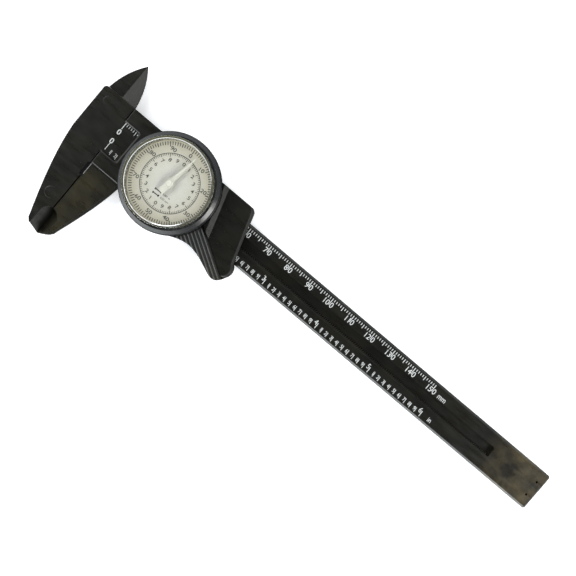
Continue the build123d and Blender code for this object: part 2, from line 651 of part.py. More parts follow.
# ---------------------------------------------------------------- back cover with the moving inside blade
ROD_START = 20.0
ROD_RIVET_X = 24.0
ROD_RIVET_RADIUS = 0.6
ROD_RIVET_LOW = 0.15
ARM_END = -12.6             # the arm to the moving inside blade runs behind the fixed plate
moving_blade = blade_outline(-1)
with BuildPart() as back_cover:
    with BuildSketch():
        with BuildLine():
            Polyline(
                (PRONG_X, HEAD_TOP),
                (TAIL_CORNER[0] - 0.3, HEAD_TOP),
                (62.2, -2.5),
                (62.2, SLIDER_BOTTOM + 0.1),
                (PRONG_X, SLIDER_BOTTOM + 0.1),
                close=True,
            )
        make_face()
        with Locations(((PRONG_X + ARM_END) / 2, HEAD_TOP - 2.1)):
            Rectangle(PRONG_X - ARM_END, 4.5)
        with Locations(((BLADE_AXIS_X + ARM_END) / 2, HEAD_TOP - 0.2)):
            Rectangle(BLADE_AXIS_X - ARM_END, 1.2)
    extrude(amount=COVER_THICK)
    with BuildSketch():
        add(moving_blade)
    extrude(amount=PARTING - BLADE_GAP)
    # the back of the blade is bevelled down to its knife edge
    with BuildSketch(Plane.XZ.offset(-HEAD_TOP - 0.15)):
        with BuildLine():
            Polyline(
                (-10.5, -0.5),
                (-10.5, 0),
                (BLADE_AXIS_X, PARTING - 0.3),
                (-5, PARTING - 0.3),
                (-5, -0.5),
                close=True,
            )
        make_face()
    extrude(amount=-(BLADE_TIP - HEAD_TOP), mode=Mode.SUBTRACT)
    # seat for the depth rod
    with BuildSketch(Plane(origin=(ROD_RIVET_X, 0, 0))):
        Rectangle(6, 3.4)
    extrude(amount=ROD_LOW)
    with BuildSketch():
        with Locations((ROD_RIVET_X, 0)):
            Circle(ROD_RIVET_RADIUS)
    extrude(amount=ROD_TOP, mode=Mode.SUBTRACT)
    with Locations(*[Location((x, y, 0), (180, 0, 0)) for x, y in SCREW_PLACES]):
        CounterSinkHole(radius=0.85, counter_sink_radius=1.6, depth=3)
back_cover.part.label = "back_cover"
export_step(back_cover.part, "parts/back_cover.step")

with BuildPart() as one_screw:
    with BuildSketch(Plane.XZ):
        with BuildLine():
            Polyline((0, 0.05), (1.5, 0.05), (0.74, 0.8), (0.74, 4.2), (0, 4.2), close=True)
        make_face()
    revolve(axis=Axis.Z)
    with BuildSketch():
        Rectangle(2.4, 0.4)
        Rectangle(0.4, 2.4)
    extrude(amount=0.35, mode=Mode.SUBTRACT)
with BuildPart() as cover_screws:
    with Locations(*SCREW_PLACES):
        add(one_screw.part)
cover_screws.part.label = "cover_screws"
export_step(cover_screws.part, "parts/cover_screws.step")

# ---------------------------------------------------------------- depth rod and its rivet
with BuildPart() as depth_rod:
    with BuildSketch(Plane.XY.offset(ROD_LOW)):
        with Locations(((ROD_START + BEAM_END + OPENING) / 2, 0)):
            Rectangle(BEAM_END + OPENING - ROD_START, 2 * ROD_HALF_WIDTH)
        with Locations((ROD_RIVET_X, 0)):
            Circle(ROD_RIVET_RADIUS, mode=Mode.SUBTRACT)
    extrude(amount=ROD_TOP - ROD_LOW)
    end_edges = depth_rod.edges().filter_by(Axis.Z).group_by(Axis.X)[-1]
    chamfer(end_edges.sort_by(Axis.Y)[0], 1.2)
depth_rod.part.label = "depth_rod"
export_step(depth_rod.part, "parts/depth_rod.step")

with BuildPart() as depth_rod_rivet:
    with BuildSketch(Plane(origin=(ROD_RIVET_X, 0, ROD_RIVET_LOW))):
        Circle(ROD_RIVET_RADIUS)
    extrude(amount=ROD_TOP - ROD_RIVET_LOW)
depth_rod_rivet.part.label = "depth_rod_rivet"
export_step(depth_rod_rivet.part, "parts/depth_rod_rivet.step")

# ---------------------------------------------------------------- gib spring and stop key
with BuildPart() as gib_spring:
    with BuildSketch(Plane.XY.offset(2.2)):
        with BuildLine():
            ThreePointArc((9.6, 8.2), (22.0, 7.84), (34.4, 8.2))
            Line((34.4, 8.2), (34.4, 8.4))
            ThreePointArc((34.4, 8.4), (22.0, 8.04), (9.6, 8.4))
            Line((9.6, 8.4), (9.6, 8.2))
        make_face()
    extrude(amount=2.2)
gib_spring.part.label = "gib_spring"
export_step(gib_spring.part, "parts/gib_spring.step")

KEY_END = GROOVE_END - TRAVEL - 0.05     # meets the end of the groove at full travel
with BuildPart() as stop_key:
    with BuildSketch(Plane(origin=(KEY_END - 1.7, KEY_PLACE[1], 3.7))):
        Rectangle(3.4, 2.4)
    extrude(amount=DECK_LOW - 3.7)
    with BuildSketch(Plane(origin=(*KEY_PLACE, DECK_LOW))):
        Circle(0.8)
    extrude(amount=DECK_TOP - 0.3 - DECK_LOW)
stop_key.part.label = "stop_key"
export_step(stop_key.part, "parts/stop_key.step")

# ---------------------------------------------------------------- movement: plates, pillars, screws
ARBOR_RADIUS = 0.5
PIVOT_GAP = 0.03
BUSH_RADIUS = 1.3
PINION_SHAFT = 0.6
BUSH_LOW = 5.4
SCREW_LOW = 6.5
SCREW_HEAD, SCREW_HEAD_HEIGHT, SCREW_SLOT_WIDTH = 0.95, 0.3, 0.2
pillar_places = []
for angle in PILLAR_ANGLES:
    turn = math.radians(angle)
    pillar_places.append((DIAL_X + PILLAR_CIRCLE * math.cos(turn), PILLAR_CIRCLE * math.sin(turn)))
pillar_bores = posts(pillar_places, 0.5, 0, 20)

with BuildPart() as main_plate:
    with BuildSketch(Plane(origin=(DIAL_X, 0, DECK_TOP))):
        Circle(PLATE_RADIUS)
        Circle(0.4 + PIVOT_GAP, mode=Mode.SUBTRACT)
        with Locations((INTERMEDIATE_X - DIAL_X, INTERMEDIATE_Y)):
            Circle(ARBOR_RADIUS + PIVOT_GAP, mode=Mode.SUBTRACT)
        with Locations((PINION_X - DIAL_X, PINION_Y)):
            Circle(BUSH_RADIUS, mode=Mode.SUBTRACT)
    extrude(amount=MAIN_PLATE_TOP - DECK_TOP)
    add(pillar_bores, mode=Mode.SUBTRACT)
main_plate.part.label = "main_plate"
export_step(main_plate.part, "parts/main_plate.step")

with BuildPart() as pinion_bush:
    with BuildSketch(Plane(origin=(PINION_X, PINION_Y, BUSH_LOW))):
        Circle(BUSH_RADIUS)
        Circle(PINION_SHAFT + PIVOT_GAP, mode=Mode.SUBTRACT)
    extrude(amount=MAIN_PLATE_TOP - BUSH_LOW)
pinion_bush.part.label = "pinion_bush"
export_step(pinion_bush.part, "parts/pinion_bush.step")

with BuildPart() as bridge_pillars:
    with BuildSketch(Plane.XY.offset(MAIN_PLATE_TOP)):
        with Locations(*pillar_places):
            Circle(1.1)
            Circle(0.5, mode=Mode.SUBTRACT)
    extrude(amount=BRIDGE_LOW - MAIN_PLATE_TOP)
bridge_pillars.part.label = "bridge_pillars"
export_step(bridge_pillars.part, "parts/bridge_pillars.step")

with BuildPart() as movement_bridge:
    with BuildSketch(Plane(origin=(DIAL_X, 0, BRIDGE_LOW))):
        Circle(PLATE_RADIUS)
        Circle(0.75 + PIVOT_GAP, mode=Mode.SUBTRACT)
        with Locations((INTERMEDIATE_X - DIAL_X, INTERMEDIATE_Y)):
            Circle(ARBOR_RADIUS + PIVOT_GAP, mode=Mode.SUBTRACT)
        with PolarLocations(9.0, 2, start_angle=-70, angular_range=60):
            SlotOverall(6, 3.4, rotation=90, mode=Mode.SUBTRACT)
    extrude(amount=BRIDGE_TOP - BRIDGE_LOW)
    add(pillar_bores, mode=Mode.SUBTRACT)
movement_bridge.part.label = "movement_bridge"
export_step(movement_bridge.part, "parts/movement_bridge.step")

with BuildPart() as bridge_screws:
    with BuildSketch(Plane.XY.offset(SCREW_LOW)):
        with Locations(*pillar_places):
            Circle(0.48)
    extrude(amount=BRIDGE_TOP - SCREW_LOW)
    with BuildSketch(Plane.XY.offset(BRIDGE_TOP)):
        with Locations(*pillar_places):
            Circle(SCREW_HEAD)
            Rectangle(2 * SCREW_HEAD, SCREW_SLOT_WIDTH, mode=Mode.SUBTRACT)
    extrude(amount=SCREW_HEAD_HEIGHT)
    with BuildSketch(Plane.XY.offset(BRIDGE_TOP)):
        with Locations(*pillar_places):
            Circle(SCREW_HEAD)
    extrude(amount=0.4 * SCREW_HEAD_HEIGHT)
bridge_screws.part.label = "bridge_screws"
export_step(bridge_screws.part, "parts/bridge_screws.step")

# ---------------------------------------------------------------- bezel, crystal and dial face
with BuildPart() as bezel_snap_ring:
    with BuildSketch(Plane(origin=(DIAL_X, 0, SNAP_GROOVE_LOW + 0.1))):
        Circle(SPIGOT_RADIUS + 0.28)
        Circle(SPIGOT_RADIUS - 0.25, mode=Mode.SUBTRACT)
        with Locations((0, -SPIGOT_RADIUS)):
            Rectangle(1.6, 2.0, mode=Mode.SUBTRACT)
    extrude(amount=0.3)
bezel_snap_ring.part.label = "bezel_snap_ring"
export_step(bezel_snap_ring.part, "parts/bezel_snap_ring.step")

bezel_bore = SPIGOT_RADIUS + RUNNING_GAP
crystal_seat = CRYSTAL_RADIUS + 0.03
with BuildPart() as bezel_ring:
    with BuildSketch(Plane.XZ):
        with BuildLine():
            Polyline(
                (DIAL_X + bezel_bore, SHOULDER_TOP + RUNNING_GAP),
                (DIAL_X + BEZEL_RADIUS - 0.3, SHOULDER_TOP + RUNNING_GAP),
                (DIAL_X + BEZEL_RADIUS, SHOULDER_TOP + 0.4),
                (DIAL_X + BEZEL_RADIUS, BEZEL_WALL_TOP),
                (DIAL_X + BEZEL_RADIUS - BEZEL_EDGE, BEZEL_BEVEL_LOW),
                (DIAL_X + CRYSTAL_RADIUS + BEZEL_RIM_WIDTH, BEZEL_TOP),
                (DIAL_X + crystal_seat, BEZEL_TOP),
                (DIAL_X + crystal_seat, DIAL_BACK),
                (DIAL_X + FLANGE_BORE, DIAL_BACK),
                (DIAL_X + FLANGE_BORE, BEZEL_FLANGE),
                (DIAL_X + bezel_bore, BEZEL_FLANGE),
                (DIAL_X + bezel_bore, SNAP_GROOVE_TOP + 0.05),
                (DIAL_X + bezel_bore + SNAP_GROOVE_DEPTH, SNAP_GROOVE_TOP),
                (DIAL_X + bezel_bore + SNAP_GROOVE_DEPTH, SNAP_GROOVE_LOW),
                (DIAL_X + bezel_bore, SNAP_GROOVE_LOW - 0.05),
                close=True,
            )
        make_face()
    revolve(axis=Axis((DIAL_X, 0, 0), (0, 0, 1)))
bezel_ring.part.label = "bezel_ring"
export_step(bezel_ring.part, "parts/bezel_ring.step")

with BuildPart() as crystal:
    with BuildSketch(Plane.XZ):
        with BuildLine():
            Polyline(
                (DIAL_X, CRYSTAL_UNDERSIDE),
                (DIAL_X + CRYSTAL_RADIUS - CRYSTAL_WALL - CRYSTAL_EASE, CRYSTAL_UNDERSIDE),
                (DIAL_X + CRYSTAL_RADIUS - CRYSTAL_WALL, CRYSTAL_UNDERSIDE - CRYSTAL_EASE),
                (DIAL_X + CRYSTAL_RADIUS - CRYSTAL_WALL, DIAL_FRONT),
                (DIAL_X + CRYSTAL_RADIUS, DIAL_FRONT),
                (DIAL_X + CRYSTAL_RADIUS, CRYSTAL_TOP - CRYSTAL_EASE),
                (DIAL_X + CRYSTAL_RADIUS - CRYSTAL_EASE, CRYSTAL_TOP),
                (DIAL_X, CRYSTAL_TOP),
                close=True,
            )
        make_face()
    revolve(axis=Axis((DIAL_X, 0, 0), (0, 0, 1)))
crystal.part.label = "crystal"
export_step(crystal.part, "parts/crystal.step")

with BuildPart() as dial_face:
    with BuildSketch(Plane(origin=(DIAL_X, 0, DIAL_BACK))):
        Circle(CRYSTAL_RADIUS)
        Circle(1.2, mode=Mode.SUBTRACT)
    extrude(amount=DIAL_FRONT - DIAL_BACK)
dial_face.part.label = "dial_face"
export_step(dial_face.part, "parts/dial_face.step")

# ---------------------------------------------------------------- rack pinion and transfer gears
pinion_place = (PINION_X, PINION_Y)
intermediate_place = (INTERMEDIATE_X, INTERMEDIATE_Y)
dial_place = (DIAL_X, 0)
PINION_LOW, PINION_TOP = 3.65, 5.0
pinion_teeth = gear(RACK_PINION_TEETH, RACK_MODULE, -90, pinion_place, PINION_LOW, PINION_TOP, 0)
with BuildPart() as rack_pinion:
    add(pinion_teeth)
    with BuildSketch(Plane(origin=(*pinion_place, PINION_TOP))):
        Circle(PINION_SHAFT)
    extrude(amount=TRANSFER_TOP - PINION_TOP)
rack_pinion.part.label = "rack_pinion"
export_step(rack_pinion.part, "parts/rack_pinion.step")

with BuildPart() as pinion_gear:
    add(
        gear(
            TRANSFER_TEETH,
            TRANSFER_MODULE,
            TRANSFER_BEARING,
            pinion_place,
            TRANSFER_LOW,
            TRANSFER_TOP,
            PINION_SHAFT,
        )
    )
pinion_gear.part.label = "pinion_gear"
export_step(pinion_gear.part, "parts/pinion_gear.step")

half_tooth = 180 / TRANSFER_TEETH
meeting = TRANSFER_BEARING + 180 + half_tooth
with BuildPart() as intermediate_gear:
    add(
        gear(
            TRANSFER_TEETH,
            TRANSFER_MODULE,
            meeting,
            intermediate_place,
            TRANSFER_LOW,
            TRANSFER_TOP,
            ARBOR_RADIUS,
        )
    )
intermediate_gear.part.label = "intermediate_gear"
export_step(intermediate_gear.part, "parts/intermediate_gear.step")

with BuildPart() as intermediate_arbor:
    with BuildSketch(Plane(origin=(*intermediate_place, DECK_TOP + 0.05))):
        Circle(ARBOR_RADIUS)
    extrude(amount=BRIDGE_TOP - DECK_TOP - 0.1)
intermediate_arbor.part.label = "intermediate_arbor"
export_step(intermediate_arbor.part, "parts/intermediate_arbor.step")

# ---------------------------------------------------------------- wheels and pinions of the two hands
to_dial = INTERMEDIATE_BEARING + 180
with BuildPart() as inch_wheel:
    add(
        gear(
            INCH_WHEEL_TEETH,
            INCH_MODULE,
            to_dial,
            intermediate_place,
            INCH_WHEEL_LOW,
            INCH_WHEEL_TOP,
            ARBOR_RADIUS,
        )
    )
inch_wheel.part.label = "inch_wheel"
export_step(inch_wheel.part, "parts/inch_wheel.step")

with BuildPart() as mm_wheel:
    add(
        gear(
            MM_WHEEL_TEETH,
            MM_MODULE,
            to_dial,
            intermediate_place,
            MM_WHEEL_LOW,
            MM_WHEEL_TOP,
            ARBOR_RADIUS,
        )
    )
mm_wheel.part.label = "mm_wheel"
export_step(mm_wheel.part, "parts/mm_wheel.step")

from_dial = INTERMEDIATE_BEARING + 180 / HAND_PINION_TEETH
INCH_SHAFT = 0.4
INCH_PINION_LOW, INCH_PINION_TOP = 7.4, 7.86
MM_PINION_LOW, MM_PINION_TOP = 7.9, 8.36
inch_pinion = gear(HAND_PINION_TEETH, INCH_MODULE, from_dial, dial_place, INCH_PINION_LOW, INCH_PINION_TOP, 0)
with BuildPart() as inch_arbor:
    with BuildSketch(Plane(origin=(*dial_place, DECK_TOP + 0.05))):
        Circle(INCH_SHAFT)
    extrude(amount=INCH_HAND_LOW + HAND_THICK - DECK_TOP - 0.05)
    add(inch_pinion)
inch_arbor.part.label = "inch_arbor"
export_step(inch_arbor.part, "parts/inch_arbor.step")

SLEEVE_BORE, SLEEVE_RADIUS = 0.44, 0.75
mm_pinion = gear(HAND_PINION_TEETH, MM_MODULE, from_dial, dial_place, MM_PINION_LOW, MM_PINION_TOP, SLEEVE_BORE)
with BuildPart() as mm_arbor:
    add(mm_pinion)
    with BuildSketch(Plane(origin=(*dial_place, MM_PINION_TOP))):
        Circle(SLEEVE_RADIUS)
        Circle(SLEEVE_BORE, mode=Mode.SUBTRACT)
    extrude(amount=MM_HAND_LOW + HAND_THICK - MM_PINION_TOP)
mm_arbor.part.label = "mm_arbor"
export_step(mm_arbor.part, "parts/mm_arbor.step")


def hand(bearing, low, length, root_half, tail, tail_half, hub, bore):
    """A tapered hand with a round hub and a broad tail, pointing at bearing degrees."""
    turn = math.radians(bearing)
    along = (math.cos(turn), math.sin(turn), 0)
    with BuildPart() as pointer:
        with BuildSketch(Plane(origin=(*dial_place, low), x_dir=along, z_dir=(0, 0, 1))):
            with BuildLine():
                Polyline(
                    (-tail, -tail_half),
                    (0, -root_half),
                    (length, -0.12),
                    (length, 0.12),
                    (0, root_half),
                    (-tail, tail_half),
                    close=True,
                )
            make_face()
            Circle(hub)
            Circle(bore, mode=Mode.SUBTRACT)
        extrude(amount=HAND_THICK)
    return pointer.part


with BuildPart() as inch_hand:
    add(hand(INCH_HAND_BEARING, INCH_HAND_LOW, INCH_HAND_LENGTH, 0.95, 4.4, 1.35, 1.9, INCH_SHAFT))
inch_hand.part.label = "inch_hand"
export_step(inch_hand.part, "parts/inch_hand.step")

with BuildPart() as mm_hand:
    add(hand(MM_HAND_BEARING, MM_HAND_LOW, MM_HAND_LENGTH, 0.85, 3.0, 0.9, 1.7, SLEEVE_RADIUS))
mm_hand.part.label = "mm_hand"
export_step(mm_hand.part, "parts/mm_hand.step")

with BuildPart() as hand_cap:
    with BuildSketch(Plane(origin=(*dial_place, INCH_HAND_LOW + HAND_THICK))):
        Circle(1.3)
    extrude(amount=0.5)
    fillet(hand_cap.faces().sort_by(Axis.Z)[-1].edges(), 0.25)
hand_cap.part.label = "hand_cap"
export_step(hand_cap.part, "parts/hand_cap.step")
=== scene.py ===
import math

import bmesh
import bpy
from mathutils import Matrix, Vector


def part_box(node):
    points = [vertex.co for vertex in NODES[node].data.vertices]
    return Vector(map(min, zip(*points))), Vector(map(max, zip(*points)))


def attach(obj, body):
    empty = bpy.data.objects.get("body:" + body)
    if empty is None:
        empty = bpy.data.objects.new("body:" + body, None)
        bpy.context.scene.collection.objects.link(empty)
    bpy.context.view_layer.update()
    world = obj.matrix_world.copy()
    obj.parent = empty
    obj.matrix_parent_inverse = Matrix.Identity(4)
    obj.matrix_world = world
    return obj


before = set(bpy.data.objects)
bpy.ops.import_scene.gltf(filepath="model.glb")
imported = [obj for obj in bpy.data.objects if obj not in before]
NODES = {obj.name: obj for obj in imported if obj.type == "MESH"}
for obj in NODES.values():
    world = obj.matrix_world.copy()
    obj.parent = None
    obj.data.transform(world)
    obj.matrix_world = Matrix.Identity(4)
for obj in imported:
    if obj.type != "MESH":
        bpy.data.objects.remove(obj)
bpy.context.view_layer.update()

MM = 0.001

# ---------------------------------------------------------------- places read from the frame (mm)
beam_low, beam_high = [[c / MM for c in corner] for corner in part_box("beam")]
dial_low, dial_high = [[c / MM for c in corner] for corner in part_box("dial_face")]
BEAM_FRONT = beam_high[2]
DIAL_X = (dial_low[0] + dial_high[0]) / 2
DIAL_RADIUS = (dial_high[0] - dial_low[0]) / 2
DIAL_FRONT = dial_high[2]
SCALE_ZERO = 0.86           # the 0 marks stand this far beyond the fixed jaw's face
DIAL_TURN = 2.9             # degrees that the bezel, and so the print, is turned anticlockwise
RANGE_MM, RANGE_INCH = 150, 6
TENTH_INCH = 2.54


# ---------------------------------------------------------------- materials
class Look:
    """A node material built around one Principled shader, in object coordinates (metres)."""

    def __init__(self, name, colour, roughness, **sockets):
        self.material = bpy.data.materials.new(name)
        self.material.use_nodes = True
        self.tree = self.material.node_tree
        self.shader = self.tree.nodes["Principled BSDF"]
        self.output = self.tree.nodes["Material Output"]
        self.place = self.tree.nodes.new("ShaderNodeTexCoord").outputs["Object"]
        self.shader.inputs["Base Color"].default_value = (*colour, 1)
        self.shader.inputs["Roughness"].default_value = roughness
        for socket, value in sockets.items():
            self.shader.inputs[socket.replace("_", " ")].default_value = value

    def node(self, kind, **inputs):
        made = self.tree.nodes.new("ShaderNode" + kind)
        for name, value in inputs.items():
            self.feed(made.inputs[name.replace("_", " ")], value)
        return made

    def feed(self, socket, value):
        if isinstance(value, bpy.types.NodeSocket):
            self.tree.links.new(value, socket)
        else:
            socket.default_value = value

    def noise(self, size_mm, detail=2.0, rough=0.5, stretch=(1, 1, 1)):
        """Noise whose features are about size_mm across."""
        mapping = self.node("Mapping", Vector=self.place)
        mapping.inputs["Scale"].default_value = stretch
        made = self.node("TexNoise", Vector=mapping.outputs[0], Scale=1 / (size_mm * MM), Detail=detail)
        made.inputs["Roughness"].default_value = rough
        return made.outputs["Fac"]

    def span(self, value, low, high, to_low, to_high):
        made = self.node("MapRange", Value=value)
        for name, number in (("From Min", low), ("From Max", high), ("To Min", to_low), ("To Max", to_high)):
            made.inputs[name].default_value = number
        return made.outputs["Result"]

    def blend(self, factor, first, second):
        made = self.tree.nodes.new("ShaderNodeMix")
        made.data_type = "RGBA"
        self.feed(made.inputs["Factor"], factor)
        for socket, colour in ((made.inputs[6], first), (made.inputs[7], second)):
            self.feed(socket, colour if isinstance(colour, bpy.types.NodeSocket) else (*colour, 1))
        return made.outputs[2]

    def math(self, operation, first, second=0.0):
        made = self.tree.nodes.new("ShaderNodeMath")
        made.operation = operation
        self.feed(made.inputs[0], first)
        self.feed(made.inputs[1], second)
        return made.outputs[0]

    def edge(self, radius_mm):
        """1 on edges within radius_mm, 0 on flat ground."""
        rounded = self.tree.nodes.new("ShaderNodeBevel")
        rounded.samples = 4
        rounded.inputs["Radius"].default_value = radius_mm * MM
        straight = self.tree.nodes.new("ShaderNodeNewGeometry")
        dot = self.tree.nodes.new("ShaderNodeVectorMath")
        dot.operation = "DOT_PRODUCT"
        self.tree.links.new(rounded.outputs[0], dot.inputs[0])
        self.tree.links.new(straight.outputs["Normal"], dot.inputs[1])
        return self.span(dot.outputs["Value"], 0.99, 0.86, 0.0, 1.0)

    def bump(self, *layers):
        """Relief from (height socket, depth in mm) layers, fed to the shader's normal."""
        previous = None
        for height, depth in layers:
            made = self.tree.nodes.new("ShaderNodeBump")
            made.inputs["Distance"].default_value = depth * MM
            self.tree.links.new(height, made.inputs["Height"])
            if previous:
                self.tree.links.new(previous, made.inputs["Normal"])
            previous = made.outputs[0]
        self.tree.links.new(previous, self.shader.inputs["Normal"])


def moulded(name, colour, warm, roughness, grain=0.006, tone_and_sheen_zone=None):
    """Black moulded plastic: faint flow clouds, fine grain, dust specks, and edges rubbed paler, partly a
    painted highlight where a rounded edge would catch the light.
    """
    look = Look(name, colour, roughness, Specular_IOR_Level=0.42, Specular_Tint=(1.0, 0.985, 0.93, 1))
    clouds = look.noise(9.0, 3.0)
    flow = look.noise(3.0, 4.0, 0.6, (0.35, 1.6, 1))
    fine = look.noise(0.35, 2.0, 0.6)
    base = look.blend(look.span(clouds, 0.35, 0.68, 0, 1), colour, warm)
    # optional tinted zone: a real olive tone on the moving jaw, a painted warm sheen on the beam's free end
    if tone_and_sheen_zone:
        axis, start, end, tint = tone_and_sheen_zone
        along = look.node("SeparateXYZ", Vector=look.place).outputs[axis]
        reach = look.span(along, start * MM, end * MM, 0, 1)
        patch = look.span(look.noise(7.0, 4.0, 0.6), 0.38, 0.66, 0.1, 1)
        base = look.blend(look.math("MULTIPLY", reach, patch), base, tint)
    dust = look.span(look.noise(0.5, 3.0, 0.75), 0.70, 0.78, 0.0, 0.5)
    pale = tuple(min(1, c * 3.2 + 0.02) for c in warm)
    dusty = look.blend(dust, base, pale)
    # paler edges: wear, and partly a painted highlight where a rounded edge would catch the light
    rub_and_edge_highlight = look.math("MULTIPLY", look.edge(0.18), look.span(look.noise(1.4, 3.0), 0.35, 0.75, 0.15, 0.7))
    look.feed(look.shader.inputs["Base Color"], look.blend(rub_and_edge_highlight, dusty, pale))
    mottled = look.span(flow, 0.3, 0.7, roughness - 0.07, roughness + 0.09)
    look.feed(look.shader.inputs["Roughness"], mottled)
    look.bump((clouds, 0.05), (flow, 0.012), (fine, grain))
    return look.material


def metal(name, colour, roughness, stretch):
    look = Look(name, colour, roughness, Metallic=1.0)
    brushed = look.noise(0.25, 3.0, 0.7, stretch)
    stain = look.noise(4.0, 2.0)
    dark = tuple(c * 0.72 for c in colour)
    look.feed(look.shader.inputs["Base Color"], look.blend(look.span(stain, 0.35, 0.7, 0, 1), colour, dark))
    streaks = look.span(brushed, 0.3, 0.7, roughness - 0.08, roughness + 0.12)
    look.feed(look.shader.inputs["Roughness"], streaks)
    look.bump((brushed, 0.004))
    return look.material


def printed(name, colour, roughness, pale):
    """Paint or ink with an uneven coat and small worn-thin spots."""
    look = Look(name, colour, roughness)
    coat = look.noise(0.25, 3.0, 0.65)
    look.feed(look.shader.inputs["Base Color"], look.blend(look.span(coat, 0.42, 0.72, 0, 1), colour, pale))
    look.bump((coat, 0.006))
    return look.material


def dial_paper(name):
    """Cream print ground: yellower towards the rim, with a fine tooth and a few faint stains."""
    centre, rim_tone = (0.43, 0.415, 0.39), (0.34, 0.305, 0.235)
    look = Look(name, centre, 0.55)
    shift = look.node("Mapping", Vector=look.place)
    shift.inputs["Location"].default_value = (-DIAL_X * MM, 0, 0)
    flat = look.tree.nodes.new("ShaderNodeVectorMath")
    flat.operation = "MULTIPLY"
    flat.inputs[1].default_value = (1, 1, 0)
    look.tree.links.new(shift.outputs[0], flat.inputs[0])
    length = look.tree.nodes.new("ShaderNodeVectorMath")
    length.operation = "LENGTH"
    look.tree.links.new(flat.outputs[0], length.inputs[0])
    rim = look.span(length.outputs["Value"], 0.3 * DIAL_RADIUS * MM, DIAL_RADIUS * MM, 0, 1)
    ground = look.blend(rim, centre, rim_tone)
    stain = look.span(look.noise(3.5, 4.0, 0.6), 0.5, 0.75, 0, 0.35)
    aged = look.blend(stain, ground, (0.36, 0.335, 0.27))
    speck = look.span(look.noise(0.3, 3.0, 0.7), 0.66, 0.74, 0, 0.4)
    look.feed(look.shader.inputs["Base Color"], look.blend(speck, aged, (0.22, 0.21, 0.18)))
    look.bump((look.noise(0.2, 2.0), 0.004))
    return look.material


def clear(name):
    """Clear moulded crystal, faintly green, that lets lamps through to the dial."""
    look = Look(name, (0.992, 0.996, 0.985), 0.02, IOR=1.49)
    look.shader.inputs["Transmission Weight"].default_value = 1.0
    scuffs = look.noise(0.7, 4.0, 0.7, (1, 5, 1))
    look.feed(look.shader.inputs["Roughness"], look.span(scuffs, 0.55, 0.8, 0.01, 0.06))
    look.bump((look.noise(6.0, 1.0), 0.01))
    path = look.tree.nodes.new("ShaderNodeLightPath")
    open_to_lamps = look.tree.nodes.new("ShaderNodeBsdfTransparent")
    open_to_lamps.inputs["Color"].default_value = (0.93, 0.95, 0.9, 1)
    mix = look.tree.nodes.new("ShaderNodeMixShader")
    look.tree.links.new(path.outputs["Is Shadow Ray"], mix.inputs[0])
    look.tree.links.new(look.shader.outputs[0], mix.inputs[1])
    look.tree.links.new(open_to_lamps.outputs[0], mix.inputs[2])
    look.tree.links.new(mix.outputs[0], look.output.inputs["Surface"])
    return look.material


# a warm sheen is painted on the beam towards its free end, and the moving jaw is olive below the slider
PAINTED_END_SHEEN = ("X", 178, 194, (0.066, 0.052, 0.028))
OLIVE_JAW = ("Y", -12.5, -16, (0.021, 0.018, 0.0085))
WARM_BLACK = (0.0085, 0.0078, 0.0052)
BLACK = moulded("moulded_black", (0.0046, 0.0046, 0.0037), (0.0085, 0.0078, 0.0050), 0.31, tone_and_sheen_zone=PAINTED_END_SHEEN)
BLACK_SLIDER = moulded("moulded_black_slider", (0.0046, 0.0046, 0.0038), WARM_BLACK, 0.30, tone_and_sheen_zone=OLIVE_JAW)
BLACK_COVER = moulded("moulded_black_cover", (0.0046, 0.0048, 0.0037), (0.0080, 0.0078, 0.0052), 0.30)
BLACK_GLOSS = moulded("moulded_gloss", (0.0070, 0.0076, 0.0085), (0.010, 0.010, 0.010), 0.24, 0.002)
STEEL = metal("ground_steel", (0.56, 0.56, 0.57), 0.30, (0.15, 3, 1))
PIN_STEEL = metal("blackened_steel", (0.05, 0.045, 0.04), 0.5, (1, 1, 1))
BRASS = metal("turned_brass", (0.72, 0.55, 0.27), 0.28, (1, 1, 1))
CREAM = dial_paper("dial_cream")
IVORY = printed("hand_ivory", (0.455, 0.445, 0.405), 0.4, (0.42, 0.40, 0.35))
WHITE = printed("scale_paint", (0.66, 0.67, 0.66), 0.5, (0.42, 0.41, 0.36))
INK = printed("dial_ink", (0.020, 0.020, 0.019), 0.5, (0.06, 0.058, 0.05))
CRYSTAL = clear("clear_crystal")

NODE_LOOKS = {
    BLACK: ("beam", "rack_strip", "end_plate"),
    BLACK_SLIDER: ("slider_frame", "stop_key"),
    BLACK_COVER: ("tail_cover", "back_cover"),
    BLACK_GLOSS: ("bezel_ring",),
    CRYSTAL: ("crystal",),
    CREAM: ("dial_face",),
    IVORY: ("inch_hand", "mm_hand", "hand_cap"),
    PIN_STEEL: ("end_pins",),
    STEEL: (
        "cover_screws", "depth_rod", "gib_spring", "bridge_screws",
        "bezel_snap_ring", "intermediate_arbor", "inch_arbor",
    ),
    BRASS: (
        "depth_rod_rivet", "main_plate", "pinion_bush", "bridge_pillars", "movement_bridge",
        "rack_pinion", "pinion_gear", "intermediate_gear", "inch_wheel", "mm_wheel", "mm_arbor",
    ),
}
for material, names in NODE_LOOKS.items():
    for name in names:
        for slot in NODES[name].material_slots:
            slot.material = material


# ---------------------------------------------------------------- print: thin raised marks
def glyph(text, weight):
    """Flat mesh of generic text in font units, its strokes widened by weight."""
    curve = bpy.data.curves.new("glyph", "FONT")
    curve.body = text
    curve.offset = weight
    curve.resolution_u = 4
    temporary = bpy.data.objects.new("glyph", curve)
    mesh = bpy.data.meshes.new_from_object(temporary)
    bpy.data.objects.remove(temporary)
    bpy.data.curves.remove(curve)
    return mesh


